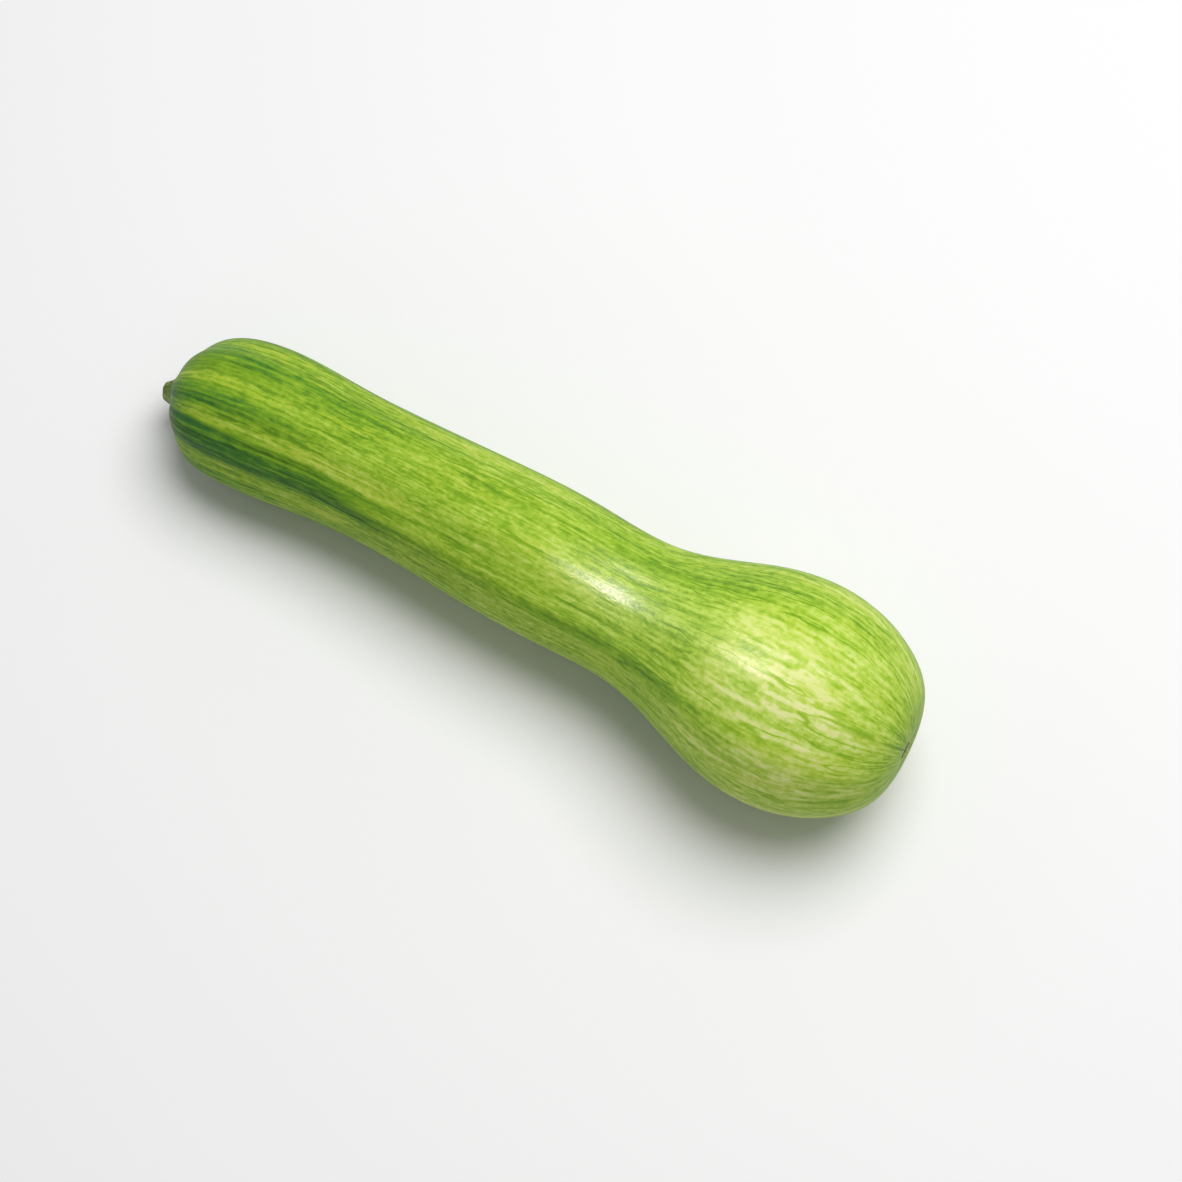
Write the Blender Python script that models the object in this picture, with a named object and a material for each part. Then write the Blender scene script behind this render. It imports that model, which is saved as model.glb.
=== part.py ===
"""A young neck squash lying on its side, with the stub of its stem. Metres, +Z up.

The fruit is one solid: a sphere whose rings are slid along a curved axis and drawn to the fruit's profile, with
shallow ribs, a dimple at the blossom end, a flat seat for the stem, and two small flats underneath, where the
fruit's own weight rests it. The stem is a five-cornered cone that points away from the fruit.
"""

import math

import bmesh
import bpy
import numpy as np
from mathutils import Matrix, Vector

# The fruit's axis, from the stem end to the blossom end: how far it bends sideways, how it hooks down at the
# stem end, and its heights at the shoulder and the bulb, with which both of them touch the surface below
AXIS_LENGTH = 0.226
AXIS_BOW = 0.0018
AXIS_SWAY = -0.0035
HOOK_DROP = 0.0064
HOOK_LENGTH = 0.034
SHOULDER_HEIGHT = 0.0210
BULB_HEIGHT = 0.0310

# The profile between the two ends of the axis: distance along it, and radius there
SHOULDER = (0.0230, 0.0206)
BULB = (0.1920, 0.0310)
PROFILE = (
    (0.0026, 0.0086),
    (0.0100, 0.0171),
    SHOULDER,
    (0.0500, 0.0196),
    (0.0900, 0.0201),
    (0.1250, 0.0206),
    (0.1480, 0.0204),
    (0.1630, 0.0242),
    (0.1750, 0.0284),
    BULB,
    (0.2110, 0.0266),
    (0.2225, 0.0168),
)

# Relief on the skin
RIB_COUNT = 10
RIB_HEIGHT = 0.00020
RIB_HEIGHT_AT_STEM = 0.00040
RIB_FADE_LENGTH = 0.030
OVAL_SHARE = 0.008
OVAL_TURN_LENGTH = 0.24
DIMPLE_DEPTH = 0.0014
DIMPLE_RADIUS = 0.0042

# Where the fruit is flat
STEM_SEAT = 0.0016
REST_FLAT_DEPTH = 0.00040

# The stem
STEM_GAP = 0.0003
STEM_LENGTH = 0.0067
STEM_CORNERS = 5
STEM_BASE_RADIUS = 0.0062
STEM_TIP_RADIUS = 0.0034
STEM_CORNER_SHARE = 0.09
STEM_FLARE_POWER = 1.5
STEM_TIP_ROUNDING = 0.0008
STEM_CUT_SLANT = math.radians(9)

# How finely the solids are divided
FRUIT_SIDES = 60
FRUIT_RINGS = 58
STEM_SIDES = 40
STEM_RINGS = 8

# Colours and finish
SKIN_GREEN = (0.270, 0.470, 0.060, 1.0)
STEM_GREEN = (0.150, 0.210, 0.060, 1.0)
SKIN_ROUGHNESS = 0.34
STEM_ROUGHNESS = 0.70
SHARP_EDGE = math.radians(40)


def clear_scene():
    for obj in list(bpy.data.objects):
        bpy.data.objects.remove(obj, do_unlink=True)


def make_collection(name):
    collection = bpy.data.collections.new(name)
    bpy.context.scene.collection.children.link(collection)
    return collection


def make_material(name, colour, roughness):
    material = bpy.data.materials.new(name)
    material.use_nodes = True
    shader = material.node_tree.nodes["Principled BSDF"]
    shader.inputs["Base Color"].default_value = colour
    shader.inputs["Roughness"].default_value = roughness
    shader.inputs["Metallic"].default_value = 0.0
    return material


class SmoothProfile:
    """A closed cubic spline through the profile and its mirror image, so that both ends are round."""

    def __init__(self, points, length):
        half = np.array([(0, 0), *points, (length, 0)])
        self.loop = np.vstack([half, half[-2:0:-1] * (1, -1)])
        self.spans = np.linalg.norm(np.roll(self.loop, -1, axis=0) - self.loop, axis=1)
        self.starts = np.concatenate([[0], np.cumsum(self.spans)])
        self.half_way = self.starts[len(half) - 1]
        self.slopes = self.solve_slopes()

    def solve_slopes(self):
        """Slopes at the points that make the curvature run on through each of them."""
        count = len(self.loop)
        matrix = np.zeros((count, count))
        wanted = np.zeros((count, 2))
        for i in range(count):
            before, after = 1 / self.spans[i - 1], 1 / self.spans[i]
            following = (i + 1) % count
            matrix[i, i - 1] = before
            matrix[i, i] = 2 * (before + after)
            matrix[i, following] = after
            wanted[i] = 3 * before**2 * (self.loop[i] - self.loop[i - 1])
            wanted[i] += 3 * after**2 * (self.loop[following] - self.loop[i])
        return np.linalg.solve(matrix, wanted)

    def at(self, share):
        """Distance along the axis and radius, at a share of the way over the skin from the stem end."""
        travelled = share * self.half_way
        i = min(int(np.searchsorted(self.starts, travelled, side="right")) - 1, len(self.loop) // 2 - 1)
        span = self.spans[i]
        t = (travelled - self.starts[i]) / span
        start, end = self.loop[i], self.loop[i + 1]
        return (
            (2 * t**3 - 3 * t**2 + 1) * start
            + (t**3 - 2 * t**2 + t) * span * self.slopes[i]
            + (3 * t**2 - 2 * t**3) * end
            + (t**3 - t**2) * span * self.slopes[i + 1]
        )


def axis_point(along):
    """The axis bends sideways like a long S, rises from the shoulder to the bulb, and hooks down at the stem."""
    u = 2 * along / AXIS_LENGTH - 1
    side = AXIS_BOW * (1 - u**2) + AXIS_SWAY * (u - u**3)
    rise = (BULB_HEIGHT - SHOULDER_HEIGHT) / (BULB[0] - SHOULDER[0])
    drop = HOOK_DROP * max(0.0, 1 - along / HOOK_LENGTH) ** 2
    return Vector((along, side, SHOULDER_HEIGHT + rise * (along - SHOULDER[0]) - drop))


def axis_frame(along):
    """Direction of the axis towards the blossom end, and the level and the upward direction across it."""
    step = 0.001
    ahead = (axis_point(along + step) - axis_point(along - step)).normalized()
    level = Vector((0, 0, 1)).cross(ahead).normalized()
    return ahead, level, ahead.cross(level)


def skin_relief(along, radius, angle):
    """How far the skin stands off the round profile: ribs, strongest at the stem, and a slowly turning oval."""
    at_stem = math.exp(-along / RIB_FADE_LENGTH)
    height = RIB_HEIGHT + (RIB_HEIGHT_AT_STEM - RIB_HEIGHT) * at_stem
    fade = min(1.0, radius / SHOULDER[1])
    oval = OVAL_SHARE * radius * math.cos(2 * angle + 2 * math.pi * along / OVAL_TURN_LENGTH)
    return height * fade * math.cos(RIB_COUNT * angle) + oval


def skin_point(along, radius, angle):
    """A point of the skin: along the axis from the stem end, and round it from level through the top."""
    ahead, level, upward = axis_frame(along)
    outward = level * math.cos(angle) + upward * math.sin(angle)
    shift = max(along, STEM_SEAT) - along
    if along > AXIS_LENGTH / 2:
        shift = -DIMPLE_DEPTH * math.exp(-((radius / DIMPLE_RADIUS) ** 2))
    return axis_point(along) + ahead * shift + outward * (radius + skin_relief(along, radius, angle))


def cut_rest_flats(mesh):
    """Cuts the underside level, which leaves a small flat under the bulb and another under the shoulder."""
    everything = mesh.verts[:] + mesh.edges[:] + mesh.faces[:]
    floor = min(v.co.z for v in mesh.verts) + REST_FLAT_DEPTH
    cut = bmesh.ops.bisect_plane(
        mesh, geom=everything, dist=1e-6, plane_co=(0, 0, floor), plane_no=(0, 0, -1), clear_outer=True
    )
    rims = [e for e in cut["geom_cut"] if isinstance(e, bmesh.types.BMEdge)]
    bmesh.ops.edgeloop_fill(mesh, edges=rims)
    bmesh.ops.recalc_face_normals(mesh, faces=mesh.faces[:])


def make_fruit(collection, material):
    profile = SmoothProfile(PROFILE, AXIS_LENGTH)
    mesh = bmesh.new()
    bmesh.ops.create_uvsphere(mesh, u_segments=FRUIT_SIDES, v_segments=FRUIT_RINGS, radius=1)
    for vert in mesh.verts:
        polar = math.acos(max(-1.0, min(1.0, vert.co.z)))
        closer_at_ends = ((1 - math.cos(polar)) / 2 + polar / math.pi) / 2
        along, radius = profile.at(closer_at_ends)
        vert.co = skin_point(along, radius, math.atan2(vert.co.y, vert.co.x))
    cut_rest_flats(mesh)
    return finish_object("fruit", mesh, collection, material)


def stem_radius(share, angle):
    """Radius of the stem: wider towards the fruit, drawn out at its corners, and rounded at the tip's rim."""
    radius = STEM_TIP_RADIUS + (STEM_BASE_RADIUS - STEM_TIP_RADIUS) * (1 - share) ** STEM_FLARE_POWER
    corners = STEM_CORNER_SHARE * (1 - 0.5 * share) * math.cos(STEM_CORNERS * angle)
    return radius * (1 + corners) - STEM_TIP_ROUNDING * share**8


def make_stem(collection, material):
    """The stem points away from the blossom end, and the cut across its tip slants a little."""
    mesh = bmesh.new()
    bmesh.ops.create_cone(
        mesh, cap_ends=True, segments=STEM_SIDES, radius1=1, radius2=1, depth=1,
        matrix=Matrix.Translation((0, 0, 0.5)),
    )
    uprights = [e for e in mesh.edges if abs(e.verts[0].co.z - e.verts[1].co.z) > 0.5]
    bmesh.ops.subdivide_edges(mesh, edges=uprights, cuts=STEM_RINGS - 1, use_grid_fill=True)
    ahead, level, upward = axis_frame(STEM_SEAT)
    seat = axis_point(STEM_SEAT) - ahead * STEM_GAP
    for vert in mesh.verts:
        share, angle = vert.co.z, math.atan2(vert.co.y, vert.co.x)
        radius = stem_radius(share, angle)
        outward = level * math.cos(angle) + upward * math.sin(angle)
        slant = math.tan(STEM_CUT_SLANT) * radius * math.sin(angle) * share**3
        vert.co = seat - ahead * (STEM_LENGTH * share + slant) + outward * radius
    bmesh.ops.recalc_face_normals(mesh, faces=mesh.faces[:])
    return finish_object("stem", mesh, collection, material)


def finish_object(name, mesh, collection, material):
    data = bpy.data.meshes.new(name)
    mesh.to_mesh(data)
    mesh.free()
    data.materials.append(material)
    data.shade_smooth()
    data.set_sharp_from_angle(angle=SHARP_EDGE)
    obj = bpy.data.objects.new(name, data)
    collection.objects.link(obj)
    return obj


def stand_on_origin(objects):
    """Moves the pieces together so that the origin is below the middle of their box."""
    corners = [v.co for obj in objects for v in obj.data.vertices]
    low = Vector(min(c[i] for c in corners) for i in range(3))
    high = Vector(max(c[i] for c in corners) for i in range(3))
    for obj in objects:
        obj.location = (-(low.x + high.x) / 2, -(low.y + high.y) / 2, -low.z)


def main():
    clear_scene()
    collection = make_collection("neck_squash")
    fruit = make_fruit(collection, make_material("skin", SKIN_GREEN, SKIN_ROUGHNESS))
    stem = make_stem(collection, make_material("stem", STEM_GREEN, STEM_ROUGHNESS))
    stand_on_origin([fruit, stem])


main()
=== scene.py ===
import math

import bmesh
import bpy
import numpy as np
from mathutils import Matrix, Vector


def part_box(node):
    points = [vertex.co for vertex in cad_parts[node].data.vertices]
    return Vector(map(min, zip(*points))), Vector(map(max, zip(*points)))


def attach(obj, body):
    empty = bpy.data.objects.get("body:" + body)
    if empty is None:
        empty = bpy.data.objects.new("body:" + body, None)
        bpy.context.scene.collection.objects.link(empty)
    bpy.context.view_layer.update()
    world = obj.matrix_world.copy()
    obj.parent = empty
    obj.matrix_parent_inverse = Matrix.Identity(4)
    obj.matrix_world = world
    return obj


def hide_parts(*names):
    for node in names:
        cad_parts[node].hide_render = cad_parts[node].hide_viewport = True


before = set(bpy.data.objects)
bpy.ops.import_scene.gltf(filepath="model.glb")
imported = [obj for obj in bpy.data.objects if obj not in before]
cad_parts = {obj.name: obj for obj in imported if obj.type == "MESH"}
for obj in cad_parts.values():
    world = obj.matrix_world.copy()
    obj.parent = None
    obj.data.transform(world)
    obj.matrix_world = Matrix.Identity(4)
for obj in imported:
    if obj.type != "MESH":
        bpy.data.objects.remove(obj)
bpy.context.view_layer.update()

# The fruit's axis and profile, in metres, the same as those of its plain solid
AXIS_LENGTH = 0.226
AXIS_BOW = 0.0018
AXIS_SWAY = -0.0035
HOOK_DROP = 0.0064
HOOK_LENGTH = 0.034
SHOULDER_HEIGHT = 0.0210
BULB_HEIGHT = 0.0310
SHOULDER = (0.0230, 0.0206)
BULB = (0.1920, 0.0310)
PROFILE = (
    (0.0026, 0.0086),
    (0.0100, 0.0171),
    SHOULDER,
    (0.0500, 0.0196),
    (0.0900, 0.0201),
    (0.1250, 0.0206),
    (0.1480, 0.0204),
    (0.1630, 0.0242),
    (0.1750, 0.0284),
    BULB,
    (0.2110, 0.0266),
    (0.2225, 0.0168),
)
RIB_COUNT = 10
RIB_HEIGHT = 0.00020
RIB_HEIGHT_AT_STEM = 0.00040
RIB_FADE_LENGTH = 0.030
OVAL_SHARE = 0.008
OVAL_TURN_LENGTH = 0.24
DIMPLE_DEPTH = 0.0014
DIMPLE_RADIUS = 0.0042
STEM_SEAT = 0.0016
REST_FLAT_DEPTH = 0.00040

# Uneven growth fades out over this length at both ends of the fruit
LUMPS_FADE_LENGTH = 0.012

# The scar of the blossom, in the middle of the dimple. Its lobes: how many, share of the radius, and turn
SCAR_RADIUS = 0.0021
SCAR_HEIGHT = 0.0005
SCAR_EDGE_WIDTH = 0.00016
SCAR_LOBES = ((5, 0.12, 0.6), (9, 0.06, 0.0))

# The stem, with the callus that joins it to the fruit and the pith in its cut
STEM_LENGTH = 0.0067
STEM_CORNERS = 5
STEM_BASE_RADIUS = 0.0062
STEM_TIP_RADIUS = 0.0034
STEM_CORNER_SHARE = 0.09
STEM_FLARE_POWER = 1.5
STEM_TIP_ROUNDING = 0.0008
STEM_CUT_SLANT = math.radians(9)
STEM_SUNK = 0.0006
CALLUS_HEIGHT = 0.0007
CALLUS_LENGTH = 0.08
PITH_RADIUS = 0.0011
PITH_DEPTH = 0.0009

# How finely the skin, the stem, and the plain shape that is laid into the solid's box are divided
SKIN_SIDES = 240
SKIN_RINGS = 400
STEM_SIDES = 160
STEM_SIDE_RINGS = 70
STEM_CAP_RINGS = 14
PLAIN_SIDES = 120
PLAIN_RINGS = 120

# The skin's pattern is laid out as if on a tube of this radius
GRAIN_RADIUS = 0.020

# Over the cut, the share of the stem's length runs on from 1 at the rim by this much to the middle
CUT_SHARE = 0.2

# How pale the skin is on average, at distances over the skin from the stem. Its darkening towards the stem
# end is partly painted shade
TREND = (
    (0.000, 0.24),
    (0.012, 0.34),
    (0.030, 0.42),
    (0.070, 0.52),
    (0.120, 0.62),
    (0.175, 0.58),
    (0.210, 0.74),
    (0.236, 0.69),
    (0.252, 0.52),
    (0.262, 0.42),
)

# Stripes of the skin that can be told apart, with a few entries of painted light and shade among them:
# angle at the stem end and at the blossom end, half-width in degrees, where it starts and ends in metres
# from the stem, and how much paler (or darker) it is
STRIPES_AND_PAINTED_LIGHT = (
    # The pale stripe at 48 degrees is the skin's pale band, drawn out towards the far upper edge as painted
    # reflection
    (48, 47, 7.0, 0.010, 0.130, 0.11),
    (43, 42, 7.0, 0.150, 0.236, 0.09),
    (27, 27, 11.0, 0.020, 0.236, -0.16),
    (62, 57, 1.1, 0.066, 0.228, -0.17),
    (70, 71, 8.0, 0.008, 0.080, -0.05),
    (72, 71, 7.0, 0.150, 0.216, -0.09),
    (79, 76, 1.0, 0.095, 0.188, -0.14),
    (98, 98, 0.9, 0.162, 0.200, -0.12),
    (93, 93, 5.5, 0.010, 0.062, 0.13),
    (83, 83, 3.0, 0.058, 0.092, 0.08),
    (95, 95, 8.0, 0.100, 0.135, 0.04),
    (112, 111, 7.0, 0.004, 0.056, -0.09),
    (123, 121, 5.4, 0.024, 0.090, 0.19),
    (133, 129, 4.0, 0.006, 0.092, -0.20),
    (142, 139, 5.0, 0.006, 0.078, -0.20),
    (152, 149, 4.4, 0.006, 0.086, -0.20),
    (131, 128, 1.0, 0.088, 0.178, -0.18),
    (123, 122, 0.9, 0.095, 0.140, -0.12),
    (146, 145, 6.0, 0.062, 0.200, -0.10),
    (145, 145, 3.5, 0.150, 0.190, -0.12),
    (165, 164, 6.0, 0.014, 0.080, 0.10),
    (97, 97, 26.0, 0.186, 0.226, 0.11),
    # These three broad entries are painted light and shade: paler on the side turned to the camera on the
    # neck and the bulb, darker on the bulb's far upper side
    (112, 112, 9.0, 0.050, 0.155, 0.06),
    (136, 136, 22.0, 0.184, 0.230, 0.08),
    (53, 53, 11.0, 0.180, 0.226, -0.10),
    (119, 118, 6.0, 0.184, 0.236, 0.05),
    (107, 108, 6.0, 0.200, 0.238, 0.05),
    (127, 128, 2.2, 0.194, 0.238, -0.14),
    (159, 159, 7.0, 0.180, 0.226, 0.08),
)
STRIPE_FADE_LENGTH = 0.010

# Stripes of the side that the photograph doesn't show: their seed, how many there are and between which
# angles, and the ranges from which their spacing, drift, places, widths and strengths are drawn
HIDDEN_SEED = 41
HIDDEN_STRIPES = 22
HIDDEN_ANGLES = (186, 388)
HIDDEN_SPACING = (0.2, 0.8)
HIDDEN_DRIFT = (-5, 5)
HIDDEN_STARTS = (0.006, 0.030, 0.080, 0.130)
HIDDEN_LENGTHS = (0.07, 0.20)
HIDDEN_LAST_END = 0.236
PALE_WIDTHS = (3.5, 7.0)
DARK_WIDTHS = (1.6, 5.5)
PALE_STRENGTHS = (0.06, 0.16)
DARK_STRENGTHS = (0.08, 0.20)

# The fine pattern, on the neck and on the bulb: how strong its clouds and its thin dark lines are, and how
# much darker or paler than the stripes it may get
BULB_BEGINS = (0.140, 0.195)
CLOUD_HEIGHT = (0.10, 0.40)
LINE_DEPTH = (0.27, 0.33)
DARKER_LIMIT = (0.20, 0.27)
PALER_LIMIT = (0.22, 0.15)
LIMIT_SOFTNESS = 0.12
LINE_WIDTH = 0.024

# Colours as seen on a screen, 0 to 255, with their places from dark to pale where there are several
SKIN_COLOURS = (
    (0.00, (44, 74, 26)),
    (0.15, (64, 100, 24)),
    (0.30, (95, 134, 32)),
    (0.45, (121, 160, 38)),
    (0.60, (146, 179, 52)),
    (0.75, (169, 195, 78)),
    (0.88, (191, 207, 110)),
    (1.00, (212, 216, 146)),
)
COOL_SKIN_COLOURS = (
    (0.00, (30, 68, 36)),
    (0.25, (54, 108, 44)),
    (0.50, (96, 158, 46)),
    (0.75, (150, 200, 70)),
    (1.00, (206, 232, 136)),
)
WARM_SKIN_COLOUR = (172, 188, 44)
SCAR_COLOURS = ((0.25, (58, 44, 26)), (0.55, (104, 84, 50)), (0.80, (150, 130, 88)))
SCAR_RING_COLOUR = (178, 194, 108)
STEM_COLOURS = ((0.25, (52, 74, 26)), (0.50, (92, 122, 42)), (0.75, (136, 160, 72)))
STEM_CORNER_COLOUR = (146, 166, 84)
STEM_BROWN = (98, 84, 44)
STEM_CORK = (170, 172, 146)
STEM_FOOT_COLOUR = (150, 156, 92)
CUT_COLOURS = ((0.20, (70, 58, 34)), (0.50, (126, 112, 70)), (0.80, (172, 162, 116)))
PITH_COLOUR = (64, 50, 30)
FLOOR_COLOUR = (238, 238, 238)

# The floor and the even glow from all sides
FLOOR_SIZE = 4.0
FLOOR_ROUGHNESS = 0.9
WORLD_STRENGTH = 0.30

# The broad studio light: what it is aimed at, from which direction and how far, its width and its power
BROAD_AIM = Vector((0.02, 0.0, 0.03))
BROAD_DIRECTION = Vector((0.12, 0.32, 1.0))
BROAD_DISTANCE = 1.2
BROAD_WIDTH = 1.0
BROAD_POWER = 14.5

# The small light, which brightens the bulb
SMALL_AIM = Vector((0.069, 0.0, 0.05))
SMALL_DIRECTION = Vector((-0.28, -0.17, 0.95))
SMALL_DISTANCE = 1.1
SMALL_WIDTH = 0.12
SMALL_POWER = 12.5
SMALL_CONE = math.radians(7.4)
SMALL_CONE_BLEND = 0.5

# The gloss light, which is seen only as the highlights on the neck and on the bulb
GLOSS_AIM = Vector((0.0475, -0.004, 0.050))
GLOSS_PLACE = Vector((-0.416, -0.1925, 1.4655))
GLOSS_WIDTH = 0.02
GLOSS_POWER = 760.0
GLOSS_CONE = math.radians(2.4)
GLOSS_CONE_BLEND = 0.40
GLOSS_LIGHT_COLOUR = (1.0, 0.80, 0.88)

# The camera, aimed at a point of the fruit's axis
PHOTO_SIZE = 1182
CAMERA_AZIMUTH = math.radians(29.7)
CAMERA_ELEVATION = math.radians(68.0)
CAMERA_DISTANCE = 0.75
CAMERA_FOCAL_PIXELS = 2803
CAMERA_SENSOR = 36.0
CAMERA_NEAREST = 0.01
AIM_ALONG = 0.1310
AIM_SIDE = 0.0010
AIM_HEIGHT = 0.0250


class SmoothProfile:
    """A closed cubic spline through the profile and its mirror image, so that both ends are round."""

    def __init__(self, points, length):
        half = np.array([(0, 0), *points, (length, 0)])
        self.loop = np.vstack([half, half[-2:0:-1] * (1, -1)])
        self.spans = np.linalg.norm(np.roll(self.loop, -1, axis=0) - self.loop, axis=1)
        self.starts = np.concatenate([[0], np.cumsum(self.spans)])
        self.half_way = self.starts[len(half) - 1]
        self.slopes = self.solve_slopes()

    def solve_slopes(self):
        """Slopes at the points that make the curvature run on through each of them."""
        count = len(self.loop)
        matrix = np.zeros((count, count))
        wanted = np.zeros((count, 2))
        for i in range(count):
            before, after = 1 / self.spans[i - 1], 1 / self.spans[i]
            following = (i + 1) % count
            matrix[i, i - 1] = before
            matrix[i, i] = 2 * (before + after)
            matrix[i, following] = after
            wanted[i] = 3 * before**2 * (self.loop[i] - self.loop[i - 1])
            wanted[i] += 3 * after**2 * (self.loop[following] - self.loop[i])
        return np.linalg.solve(matrix, wanted)

    def at(self, shares):
        """Distances along the axis and radii, at shares of the way over the skin from the stem end."""
        travelled = np.asarray(shares) * self.half_way
        i = np.clip(np.searchsorted(self.starts, travelled, side="right") - 1, 0, len(self.loop) // 2 - 1)
        span = self.spans[i][:, None]
        t = (travelled - self.starts[i])[:, None] / span
        place = (
            (2 * t**3 - 3 * t**2 + 1) * self.loop[i]
            + (t**3 - 2 * t**2 + t) * span * self.slopes[i]
            + (3 * t**2 - 2 * t**3) * self.loop[i + 1]
            + (t**3 - t**2) * span * self.slopes[i + 1]
        )
        return place[:, 0], np.maximum(place[:, 1], 0)


def axis_points(along):
    """Points of the axis. It bends like a long S, rises towards the bulb, and hooks down at the stem."""
    u = 2 * along / AXIS_LENGTH - 1
    side = AXIS_BOW * (1 - u**2) + AXIS_SWAY * (u - u**3)
    rise = (BULB_HEIGHT - SHOULDER_HEIGHT) / (BULB[0] - SHOULDER[0])
    drop = HOOK_DROP * np.maximum(0.0, 1 - along / HOOK_LENGTH) ** 2
    return np.stack([along, side, SHOULDER_HEIGHT + rise * (along - SHOULDER[0]) - drop], axis=-1)


def axis_frames(along):
    """Direction of the axis towards the blossom end, and the level and the upward direction across it."""
    step = 0.001
    ahead = axis_points(along + step) - axis_points(along - step)
    ahead /= np.linalg.norm(ahead, axis=-1, keepdims=True)
    level = np.cross((0.0, 0.0, 1.0), ahead)
    level /= np.linalg.norm(level, axis=-1, keepdims=True)
    return ahead, level, np.cross(ahead, level)


def outward_directions(level, upward, angle):
    """Directions away from the axis: level at angle 0, and upward a quarter turn on."""
    return level * np.cos(angle)[..., None] + upward * np.sin(angle)[..., None]


def plain_relief(along, radius, angle):
    """How far the plain solid stands off the round profile: ribs and a slowly turning oval."""
    at_stem = np.exp(-along / RIB_FADE_LENGTH)
    height = RIB_HEIGHT + (RIB_HEIGHT_AT_STEM - RIB_HEIGHT) * at_stem
    fade = np.minimum(1.0, radius / SHOULDER[1])
    oval = OVAL_SHARE * radius * np.cos(2 * angle + 2 * math.pi * along / OVAL_TURN_LENGTH)
    return height * fade * np.cos(RIB_COUNT * angle) + oval


def skin_points(along, radius, angle, extra=0.0):
    """Points of the skin: along the axis from the stem end, and round it from level through the top."""
    ahead, level, upward = axis_frames(along)
    outward = outward_directions(level, upward, angle)
    shift = np.where(
        along > AXIS_LENGTH / 2,
        -DIMPLE_DEPTH * np.exp(-((radius / DIMPLE_RADIUS) ** 2)),
        np.maximum(along, STEM_SEAT) - along,
    )
    reach = radius + plain_relief(along, radius, angle) + extra
    return axis_points(along) + ahead * shift[..., None] + outward * reach[..., None]


def skin_grid(rings, sides):
    """Shares of the way over the skin, closer together at both ends, and angles round the axis."""
    polar = np.linspace(0, math.pi, rings + 1)
    shares = ((1 - np.cos(polar)) / 2 + polar / math.pi) / 2
    angles = np.linspace(-math.pi, math.pi, sides, endpoint=False)
    return shares, angles


def shift_into_frame():
    """The step from the axis's own frame to the shared one: it lays the plain shape into the solid's box."""
    shares, angles = skin_grid(PLAIN_RINGS, PLAIN_SIDES)
    along, radius = SmoothProfile(PROFILE, AXIS_LENGTH).at(shares)
    points = skin_points(*np.broadcast_arrays(along[:, None], radius[:, None], angles[None, :]))
    low = points.reshape(-1, 3).min(axis=0)
    high = points.reshape(-1, 3).max(axis=0)
    solid_low, solid_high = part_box("fruit")
    middle = (np.array(solid_low) + np.array(solid_high) - low - high) / 2
    return np.array([middle[0], middle[1], -low[2] - REST_FLAT_DEPTH])


def gentle_waves(along, angle, *, seed, count, height, turns, length):
    """A smooth uneven field: a sum of random waves, up to so many round it and each at least so long."""
    draw = np.random.default_rng(seed)
    field = np.zeros(np.broadcast(along, angle).shape)
    for _ in range(count):
        round_it = draw.integers(1, turns + 1)
        per_length = draw.uniform(-1, 1) / length
        phase = draw.uniform(0, 2 * math.pi)
        field += np.cos(round_it * angle + 2 * math.pi * per_length * along + phase)
    return height * field / math.sqrt(count)


def drawn_stripes():
    """Stripes of the side that the photograph doesn't show, pale and dark by turns."""
    draw = np.random.default_rng(HIDDEN_SEED)
    first, last = HIDDEN_ANGLES
    stripes = []
    for i in range(HIDDEN_STRIPES):
        angle = first + (last - first) * (i + draw.uniform(*HIDDEN_SPACING)) / HIDDEN_STRIPES
        pale = i % 2 == 0
        width = draw.uniform(*(PALE_WIDTHS if pale else DARK_WIDTHS))
        start = draw.choice(HIDDEN_STARTS)
        end = min(HIDDEN_LAST_END, start + draw.uniform(*HIDDEN_LENGTHS))
        strength = draw.uniform(*PALE_STRENGTHS) if pale else -draw.uniform(*DARK_STRENGTHS)
        stripes.append((angle, angle + draw.uniform(*HIDDEN_DRIFT), width, start, end, strength))
    return stripes


def stripe_and_painted_light_tone(travelled, angle):
    """How much paler or darker the stripes make the skin, by the way over the skin and the angle. Some of
    the listed stripes are painted light and shade.
    """
    tone = np.zeros(np.broadcast(travelled, angle).shape)
    wobble = gentle_waves(travelled, angle, seed=5, count=10, height=1.3, turns=7, length=0.045)
    total = travelled.max()
    fade = STRIPE_FADE_LENGTH / 3
    for start_angle, end_angle, width, start, end, strength in (*STRIPES_AND_PAINTED_LIGHT, *drawn_stripes()):
        centre = start_angle + (end_angle - start_angle) * travelled / total
        away = (np.degrees(angle) - centre + wobble + 180) % 360 - 180
        begun = 1 / (1 + np.exp(-(travelled - start) / fade))
        window = begun / (1 + np.exp((travelled - end) / fade))
        tone += strength * window * np.exp(-((away / width) ** 2))
    return tone


def skin_lumps(along, travelled, angle):
    """Uneven growth that the plain solid leaves out: broad swellings and shallow furrows."""
    broad = gentle_waves(along, angle, seed=11, count=14, height=0.00016, turns=5, length=0.050)
    furrows = gentle_waves(travelled, angle, seed=23, count=26, height=0.000035, turns=34, length=0.030)
    from_ends = np.minimum(travelled, travelled.max() - travelled)
    return (broad + furrows) * np.clip(from_ends / LUMPS_FADE_LENGTH, 0, 1)


def scar_lift(radius, angle):
    """How far the blossom's corky scar stands out of the dimple."""
    edge = 1.0
    for count, share, turn in SCAR_LOBES:
        edge = edge + share * np.cos(count * angle + turn)
    return SCAR_HEIGHT / (1 + np.exp((radius - SCAR_RADIUS * edge) / SCAR_EDGE_WIDTH))


def at_points(values):
    """Values of a grid at a mesh's points: the first pole, the rings between, and the last pole."""
    first, last = values[0].mean(axis=0), values[-1].mean(axis=0)
    between = values[1:-1].reshape(-1, *values.shape[2:])
    return np.concatenate([first[None], between, last[None]])


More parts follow.
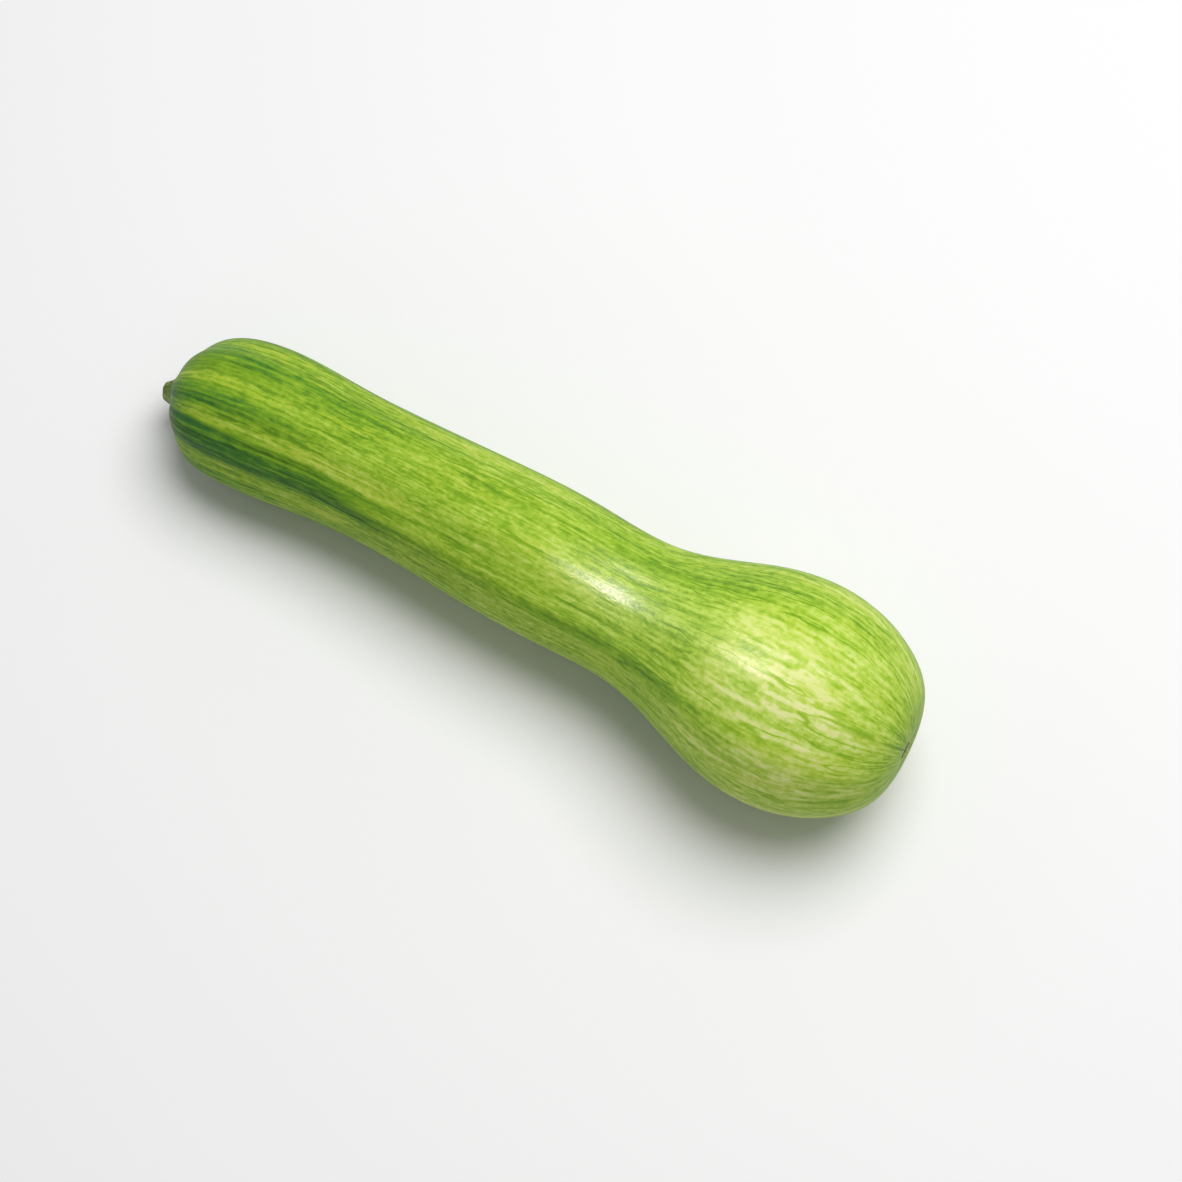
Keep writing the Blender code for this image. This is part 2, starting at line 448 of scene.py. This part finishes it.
def make_skin(shift):
    """The fruit's skin as one closed mesh, with the way over the skin and the stripes, painted light and
    shade among them, kept at its points.
    """
    shares, angles = skin_grid(SKIN_RINGS, SKIN_SIDES)
    along, radius = SmoothProfile(PROFILE, AXIS_LENGTH).at(shares)
    travelled = np.concatenate([[0], np.cumsum(np.hypot(np.diff(along), np.diff(radius)))])
    grid = np.broadcast_arrays(along[:, None], radius[:, None], travelled[:, None], angles[None, :])
    along, radius, travelled, angle = grid
    points = skin_points(along, radius, angle, skin_lumps(along, travelled, angle)) + shift
    scar = np.where(along > AXIS_LENGTH / 2, scar_lift(radius, angle), 0.0)
    points += axis_frames(along)[0] * scar[..., None]
    points[..., 2] = np.maximum(points[..., 2], 0.0)
    piece = new_mesh("skin", at_points(points), ring_faces(SKIN_RINGS - 1, SKIN_SIDES))
    grain = np.stack([travelled, GRAIN_RADIUS * np.cos(angle), GRAIN_RADIUS * np.sin(angle)], axis=-1)
    add_values(piece, "grain", at_points(grain), "FLOAT_VECTOR")
    add_values(piece, "trend", at_points(np.interp(travelled, *zip(*TREND))), "FLOAT")
    # The stripes' tone includes the painted light and shade listed among the stripes
    add_values(piece, "stripes", at_points(stripe_and_painted_light_tone(travelled, angle)), "FLOAT")
    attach(piece, "root")
    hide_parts("fruit")
    return piece, float(travelled[-1, 0])


def stem_grid():
    """Rings from the middle of the base, up the side and to the middle of the cut.

    Returns each point's share of the stem's length, its share of the radius there, and its angle.
    """
    side = np.linspace(0, 1, STEM_SIDE_RINGS)
    cap = np.linspace(0, 1, STEM_CAP_RINGS + 1)
    share = np.concatenate([np.zeros(STEM_CAP_RINGS), side, np.ones(STEM_CAP_RINGS)])
    outness = np.concatenate([cap[:-1], np.ones(STEM_SIDE_RINGS), cap[::-1][1:]])
    angle = np.linspace(-math.pi, math.pi, STEM_SIDES, endpoint=False)
    return np.broadcast_arrays(share[:, None], outness[:, None], angle[None, :])


def stem_radius(share, angle):
    """Radius of the stem: wider towards the fruit, drawn out at its corners, rounded at the tip's rim."""
    radius = STEM_TIP_RADIUS + (STEM_BASE_RADIUS - STEM_TIP_RADIUS) * (1 - share) ** STEM_FLARE_POWER
    corners = STEM_CORNER_SHARE * (1 - 0.5 * share) * np.cos(STEM_CORNERS * angle)
    callus = CALLUS_HEIGHT * np.exp(-((share / CALLUS_LENGTH) ** 2))
    return radius * (1 + corners) + callus - STEM_TIP_ROUNDING * share**8


def stem_roughness(share, angle):
    """Corky lumps and lengthwise fibres of the stem."""
    along = share * STEM_LENGTH
    lumps = gentle_waves(along, angle, seed=31, count=18, height=0.00016, turns=7, length=0.0045)
    fibres = gentle_waves(along, angle, seed=37, count=24, height=0.00007, turns=30, length=0.0050)
    return lumps + fibres


def cut_height(radius, outness, angle):
    """How far the cut stands out: a sunken pith, uneven wood round it, and a rounded rim."""
    pith = -PITH_DEPTH * np.exp(-((radius / PITH_RADIUS) ** 4))
    wood = gentle_waves(radius, angle, seed=43, count=16, height=0.00012, turns=6, length=0.0022)
    return (pith + wood) * (1 - outness**4) - STEM_TIP_ROUNDING / 2 * outness**6


def make_stem(shift):
    """The stub of the stem: its base sunk a little into the fruit, ridged sides, and a slanted cut."""
    share, outness, angle = stem_grid()
    radius = (stem_radius(share, angle) + stem_roughness(share, angle)) * outness
    reach = (STEM_LENGTH + STEM_SUNK) * share - STEM_SUNK
    reach = reach + np.tan(STEM_CUT_SLANT) * radius * np.sin(angle) * share**3
    reach = reach + np.where(share == 1, cut_height(radius, outness, angle), 0.0)
    seat = np.array([STEM_SEAT])
    ahead, level, upward = axis_frames(seat)
    outward = outward_directions(level, upward, angle)
    points = axis_points(seat) - ahead * reach[..., None] + outward * radius[..., None] + shift
    piece = new_mesh("stem_stub", at_points(points), ring_faces(len(points) - 2, STEM_SIDES))
    place = np.stack([reach, radius * np.cos(angle), radius * np.sin(angle)], axis=-1)
    over_cut = np.where(share == 1, 1 + CUT_SHARE - CUT_SHARE * outness, share)
    add_values(piece, "place", at_points(place), "FLOAT_VECTOR")
    add_values(piece, "share", at_points(over_cut), "FLOAT")
    add_values(piece, "corner", at_points(np.cos(STEM_CORNERS * angle) * outness), "FLOAT")
    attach(piece, "root")
    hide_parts("stem")
    return piece


def ring_faces(rings, sides):
    """Faces of a closed body made of a first pole, rings of points, and a last pole."""
    faces = []
    last = 1 + rings * sides
    for j in range(sides):
        k = (j + 1) % sides
        faces.append((0, 1 + k, 1 + j))
        faces.append((last, last - sides + j, last - sides + k))
    for i in range(rings - 1):
        low, high = 1 + i * sides, 1 + (i + 1) * sides
        for j in range(sides):
            k = (j + 1) % sides
            faces.append((low + j, low + k, high + k, high + j))
    return faces


def new_mesh(name, vertices, faces):
    data = bpy.data.meshes.new(name)
    data.from_pydata([tuple(v) for v in vertices], [], faces)
    data.update()
    mesh = bmesh.new()
    mesh.from_mesh(data)
    bmesh.ops.recalc_face_normals(mesh, faces=mesh.faces[:])
    mesh.to_mesh(data)
    mesh.free()
    data.shade_smooth()
    piece = bpy.data.objects.new(name, data)
    bpy.context.scene.collection.objects.link(piece)
    return piece


def add_values(piece, name, values, kind):
    layer = piece.data.attributes.new(name, kind, "POINT")
    field = "vector" if kind == "FLOAT_VECTOR" else "value"
    layer.data.foreach_set(field, values.astype(np.float32).ravel())


def screen_colour(colour):
    """A colour as seen on a screen, 0 to 255, turned into the renderer's linear values."""
    shares = [part / 255 for part in colour]
    linear = [share / 12.92 if share <= 0.04045 else ((share + 0.055) / 1.055) ** 2.4 for share in shares]
    return (*linear, 1.0)


class Shader:
    """A material's node tree, with short calls to add nodes and join them."""

    def __init__(self, name):
        self.material = bpy.data.materials.new(name)
        self.material.use_nodes = True
        self.tree = self.material.node_tree
        self.surface = self.tree.nodes["Principled BSDF"]

    def set(self, **sockets):
        """Sets the surface's own sockets. An underscore stands for a space in a socket's name."""
        for name, value in sockets.items():
            self.join(self.surface.inputs[name.replace("_", " ")], value)

    def join(self, socket, value):
        """Links another node's output to the socket, or sets a plain value on it."""
        if isinstance(value, bpy.types.NodeSocket):
            self.tree.links.new(value, socket)
        else:
            socket.default_value = value

    def add(self, kind, **settings):
        node = self.tree.nodes.new("ShaderNode" + kind)
        for name, value in settings.items():
            setattr(node, name, value)
        return node

    def attribute(self, name, output="Fac"):
        return self.add("Attribute", attribute_name=name).outputs[output]

    def math(self, operation, first, second=0.0, third=0.0):
        node = self.add("Math", operation=operation)
        for socket, value in zip(node.inputs, (first, second, third)):
            self.join(socket, value)
        return node.outputs[0]

    def plus(self, first, second):
        return self.math("ADD", first, second)

    def minus(self, first, second):
        return self.math("SUBTRACT", first, second)

    def times(self, first, second):
        return self.math("MULTIPLY", first, second)

    def total(self, start, *parts):
        """The start value plus each field, taken about its middle of one half, times its height."""
        value = start
        for field, height in parts:
            value = self.plus(value, self.times(self.minus(field, 0.5), height))
        return value

    def vector_math(self, operation, *vectors):
        node = self.add("VectorMath", operation=operation)
        for socket, value in zip(node.inputs, vectors):
            self.join(socket, value)
        return node.outputs[0]

    def first_part(self, vector):
        node = self.add("SeparateXYZ")
        self.join(node.inputs[0], vector)
        return node.outputs[0]

    def noise(self, vector, length, width, detail=2.0, roughness=0.5, distortion=0.0, seed=0.0):
        """Noise with marks of about that length along the piece and that width across it, in metres."""
        node = self.add("TexNoise", noise_dimensions="4D")
        stretched = self.vector_math("MULTIPLY", vector, (1 / length, 1 / width, 1 / width))
        self.join(node.inputs["Vector"], stretched)
        self.join(node.inputs["W"], seed)
        self.join(node.inputs["Scale"], 1.0)
        self.join(node.inputs["Detail"], detail)
        self.join(node.inputs["Roughness"], roughness)
        self.join(node.inputs["Distortion"], distortion)
        return node

    def marks(self, vector, **shape):
        """The noise as one number from 0 to 1."""
        return self.noise(vector, **shape).outputs["Fac"]

    def wavering(self, vector, distance, **shape):
        """The vector moved a little round the fruit, by another amount from place to place."""
        drift = self.vector_math("SUBTRACT", self.noise(vector, **shape).outputs["Color"], (0.5, 0.5, 0.5))
        return self.vector_math("MULTIPLY_ADD", drift, (0.0, distance, distance), vector)

    def spread(self, value, low, high, new_low=0.0, new_high=1.0):
        """The value's way from low to high, eased at both, as a number from new_low to new_high."""
        node = self.add("MapRange", interpolation_type="SMOOTHSTEP", clamp=True)
        self.join(node.inputs["Value"], value)
        self.join(node.inputs["From Min"], low)
        self.join(node.inputs["From Max"], high)
        self.join(node.inputs["To Min"], new_low)
        self.join(node.inputs["To Max"], new_high)
        return node.outputs["Result"]

    def between(self, share, two_values):
        """Goes from the first of the two values to the second as the share goes from 0 to 1."""
        return self.spread(share, 0.0, 1.0, *two_values)

    def ramp(self, value, stops):
        """A colour ramp. Stops are places from 0 to 1 with their colours as seen on a screen."""
        node = self.add("ValToRGB")
        points = node.color_ramp.elements
        while len(points) < len(stops):
            points.new(1.0)
        for point, (place, colour) in zip(points, stops):
            point.position = place
            point.color = screen_colour(colour)
        self.join(node.inputs["Fac"], value)
        return node.outputs["Color"]

    def mix(self, share, first, second):
        node = self.add("Mix", data_type="RGBA", blend_type="MIX")
        self.join(node.inputs["Factor"], share)
        self.join(node.inputs["A"], first)
        self.join(node.inputs["B"], second)
        return node.outputs["Result"]

    def bump(self, height, distance, strength):
        node = self.add("Bump")
        self.join(node.inputs["Height"], height)
        self.join(node.inputs["Distance"], distance)
        self.join(node.inputs["Strength"], strength)
        return node.outputs["Normal"]


def thin_lines(s, wavy):
    """Long thin lines, where a noise passes through its middle, broken up by another noise."""
    field = s.marks(wavy, length=0.060, width=0.0026, detail=1.0, seed=12.0)
    lines = s.spread(s.math("ABSOLUTE", s.minus(field, 0.5)), 0.0, LINE_WIDTH, 1.0, 0.0)
    gaps = s.marks(wavy, length=0.014, width=0.004, roughness=0.6, seed=15.0)
    return s.times(lines, s.spread(gaps, 0.38, 0.58))


def skin_tone(s, grain, wavy, streaks, trend, stripes, travelled):
    """How pale the skin is: the trend and the stripes, which both carry some painted light and shade, with
    the fine pattern on them.
    """
    on_bulb = s.spread(travelled, *BULB_BEGINS)
    patches = s.marks(grain, length=0.0450, width=0.0085, seed=1.0)
    threads = s.marks(wavy, length=0.0300, width=0.00095, detail=1.0, seed=28.0)
    fibres = s.marks(wavy, length=0.0042, width=0.00080, detail=1.0, roughness=0.6, seed=5.0)
    mottle = s.marks(wavy, length=0.0016, width=0.0010, roughness=0.6, seed=7.0)
    clouds = s.marks(
        wavy, length=0.0060, width=0.0020, detail=3.0, roughness=0.65, distortion=0.5, seed=32.0
    )

    banded = s.plus(trend, s.times(stripes, s.spread(streaks, 0.35, 0.60, 0.55, 1.45)))
    fineness = s.spread(banded, 0.30, 0.60, 0.38, 1.0)
    fine = s.total(0.0, (fibres, 0.56), (mottle, 0.54))
    tone = s.total(banded, (patches, 0.06), (streaks, 0.42), (threads, 0.58))
    tone = s.plus(tone, s.times(fine, fineness))
    tone = s.total(tone, (clouds, s.between(on_bulb, CLOUD_HEIGHT)))
    tone = s.minus(tone, s.times(thin_lines(s, wavy), s.times(fineness, s.between(on_bulb, LINE_DEPTH))))
    darkest = s.minus(banded, s.between(on_bulb, DARKER_LIMIT))
    palest = s.plus(banded, s.between(on_bulb, PALER_LIMIT))
    tone = s.math("SMOOTH_MAX", tone, darkest, LIMIT_SOFTNESS)
    return s.math("SMOOTH_MIN", tone, palest, LIMIT_SOFTNESS)


def skin_colour(s, tone, grain, trend, stripes):
    """Green from dark to pale, more bluish in the dark near the stem and more yellow in the pale stripes."""
    coolness = s.marks(grain, length=0.050, width=0.0060, detail=1.0, seed=18.0)
    coolness = s.minus(coolness, s.times(stripes, 0.6))
    dark = s.spread(tone, 0.20, 0.58, 0.95, 0.0)
    near_stem = s.spread(trend, 0.40, 0.64, 1.0, 0.0)
    cool = s.times(s.spread(coolness, 0.42, 0.62), s.times(dark, near_stem))
    colour = s.mix(cool, s.ramp(tone, SKIN_COLOURS), s.ramp(tone, COOL_SKIN_COLOURS))
    warmth = s.marks(grain, length=0.030, width=0.0050, seed=37.0)
    warmth = s.plus(warmth, s.times(stripes, 0.7))
    warm = s.times(s.spread(warmth, 0.50, 0.64, 0.0, 0.45), s.spread(tone, 0.45, 0.70))
    warm = s.times(warm, s.spread(trend, 0.46, 0.60, 1.0, 0.45))
    return s.mix(warm, colour, screen_colour(WARM_SKIN_COLOUR))


def scar_colour(s, skin, grain, from_pole):
    """Corky brown on the blossom's scar, with a pale ring round it that fades into the skin."""
    uneven = s.marks(grain, length=0.0012, width=0.0060, roughness=0.6, seed=25.0)
    from_pole = s.total(from_pole, (uneven, 0.0016))
    ring = s.mix(s.spread(from_pole, 0.0024, 0.0050, 0.60, 0.0), skin, screen_colour(SCAR_RING_COLOUR))
    return s.mix(s.spread(from_pole, 0.0020, 0.0027, 1.0, 0.0), ring, s.ramp(uneven, SCAR_COLOURS))


def skin_material(way_over):
    """Green waxy skin with broad stripes, some of them painted light and shade, fine broken streaks along
    the fruit, and speckles.
    """
    s = Shader("skin")
    grain = s.attribute("grain", "Vector")
    trend = s.attribute("trend")
    stripes = s.attribute("stripes")
    travelled = s.first_part(grain)
    wavy = s.wavering(grain, distance=0.0010, length=0.0070, width=0.0050, detail=1.0, seed=20.0)
    streaks = s.marks(wavy, length=0.0130, width=0.0016, roughness=0.6, seed=2.0)
    tone = skin_tone(s, grain, wavy, streaks, trend, stripes, travelled)
    colour = skin_colour(s, tone, grain, trend, stripes)
    pores = s.marks(grain, length=0.0011, width=0.0008, seed=9.0)
    relief = s.bump(s.plus(pores, s.times(streaks, 0.8)), distance=0.00014, strength=0.8)
    s.set(
        Base_Color=scar_colour(s, colour, grain, s.minus(way_over, travelled)),
        Roughness=s.spread(pores, 0.3, 0.7, 0.40, 0.52),
        Normal=relief,
        Coat_Normal=relief,
        Specular_IOR_Level=0.06,
        Coat_Weight=0.14,
        Coat_Roughness=0.38,
    )
    return s.material


def stem_side_colour(s, fibres, blotches, spots, corner):
    """Olive green along the fibres, paler on the corners, with brown blotches and corky grey spots."""
    green = s.ramp(fibres, STEM_COLOURS)
    green = s.mix(s.spread(corner, 0.2, 1.0, 0.0, 0.45), green, screen_colour(STEM_CORNER_COLOUR))
    browned = s.mix(s.spread(blotches, 0.52, 0.64, 0.0, 0.70), green, screen_colour(STEM_BROWN))
    return s.mix(s.spread(spots, 0.58, 0.68, 0.0, 0.75), browned, screen_colour(STEM_CORK))


def stem_material():
    """Dry stem with a pale foot, and a tan cut with a dark pith."""
    s = Shader("stem")
    place = s.attribute("place", "Vector")
    share = s.attribute("share")
    fibres = s.marks(place, length=0.0040, width=0.00055, detail=3.0, roughness=0.6, seed=1.0)
    blotches = s.marks(place, length=0.0022, width=0.0018, detail=3.0, roughness=0.6, seed=4.0)
    spots = s.marks(place, length=0.0009, width=0.0007, roughness=0.6, seed=8.0)
    colour = stem_side_colour(s, fibres, blotches, spots, s.attribute("corner"))
    colour = s.mix(s.spread(share, 0.04, 0.16, 0.55, 0.0), colour, screen_colour(STEM_FOOT_COLOUR))
    cut = s.ramp(s.total(0.5, (fibres, 0.7), (blotches, 0.8)), CUT_COLOURS)
    colour = s.mix(s.spread(share, 0.97, 1.02), colour, cut)
    colour = s.mix(s.spread(share, 1.11, 1.17), colour, screen_colour(PITH_COLOUR))
    s.set(
        Base_Color=colour,
        Roughness=s.spread(fibres, 0.3, 0.7, 0.60, 0.82),
        Normal=s.bump(s.total(0.5, (fibres, 0.8), (spots, 0.6)), distance=0.00025, strength=0.9),
    )
    return s.material


def make_floor():
    bpy.ops.mesh.primitive_plane_add(size=FLOOR_SIZE)
    floor = bpy.context.object
    floor.name = "floor"
    s = Shader("pale_floor")
    s.set(Base_Color=screen_colour(FLOOR_COLOUR), Roughness=FLOOR_ROUGHNESS)
    floor.data.materials.append(s.material)


def add_light(data, place, aim, power):
    data.energy = power
    light = bpy.data.objects.new(data.name, data)
    bpy.context.scene.collection.objects.link(light)
    light.location = place
    light.rotation_euler = (aim - place).to_track_quat("-Z", "Y").to_euler()
    return light


def make_broad_light():
    """A broad soft light from above and a little behind. It makes no highlight."""
    data = bpy.data.lights.new("broad", "AREA")
    data.shape = "DISK"
    data.size = BROAD_WIDTH
    place = BROAD_AIM + BROAD_DIRECTION.normalized() * BROAD_DISTANCE
    light = add_light(data, place, BROAD_AIM, BROAD_POWER)
    light.visible_glossy = False


def make_spot(name, place, aim, width, power, cone, blend, lit):
    """A narrow light that falls only on the pieces in the collection."""
    data = bpy.data.lights.new(name, "SPOT")
    data.shadow_soft_size = width / 2
    data.spot_size = cone
    data.spot_blend = blend
    light = add_light(data, place, aim, power)
    light.light_linking.receiver_collection = lit
    return light


def make_small_light(lit):
    """A narrow light that brightens the bulb. It makes no highlight."""
    place = SMALL_AIM + SMALL_DIRECTION.normalized() * SMALL_DISTANCE
    light = make_spot(
        "small", place, SMALL_AIM, SMALL_WIDTH, SMALL_POWER, SMALL_CONE, SMALL_CONE_BLEND, lit
    )
    light.visible_glossy = False


def make_gloss_light(lit):
    """A narrow light that makes only the highlights. Its slight pink offsets the green round them."""
    light = make_spot(
        "gloss", GLOSS_PLACE, GLOSS_AIM, GLOSS_WIDTH, GLOSS_POWER, GLOSS_CONE, GLOSS_CONE_BLEND, lit
    )
    light.data.color = GLOSS_LIGHT_COLOUR
    light.visible_diffuse = False


def make_glow():
    """The same white light from all sides."""
    world = bpy.data.worlds.new("studio")
    world.use_nodes = True
    background = world.node_tree.nodes["Background"]
    background.inputs["Color"].default_value = (1.0, 1.0, 1.0, 1.0)
    background.inputs["Strength"].default_value = WORLD_STRENGTH
    bpy.context.scene.world = world


def make_lights(pieces):
    lit = bpy.data.collections.new("lit_by_spots")
    for piece in pieces:
        lit.objects.link(piece)
    make_broad_light()
    make_small_light(lit)
    make_gloss_light(lit)
    make_glow()


def make_camera(shift):
    flat, up = math.cos(CAMERA_ELEVATION), math.sin(CAMERA_ELEVATION)
    back = Vector((math.sin(CAMERA_AZIMUTH) * flat, -math.cos(CAMERA_AZIMUTH) * flat, up))
    aim = Vector((AIM_ALONG, AIM_SIDE, AIM_HEIGHT)) + Vector(shift)
    data = bpy.data.cameras.new("camera")
    data.sensor_width = CAMERA_SENSOR
    data.lens = CAMERA_SENSOR * CAMERA_FOCAL_PIXELS / PHOTO_SIZE
    data.clip_start = CAMERA_NEAREST
    camera = bpy.data.objects.new("camera", data)
    bpy.context.scene.collection.objects.link(camera)
    camera.location = aim + back * CAMERA_DISTANCE
    camera.rotation_euler = back.to_track_quat("Z", "Y").to_euler()
    bpy.context.scene.camera = camera


def main():
    bpy.context.scene.view_settings.view_transform = "Standard"
    shift = shift_into_frame()
    skin, way_over = make_skin(shift)
    skin.data.materials.append(skin_material(way_over))
    stem = make_stem(shift)
    stem.data.materials.append(stem_material())
    make_floor()
    make_lights([skin, stem])
    make_camera(shift)


main()
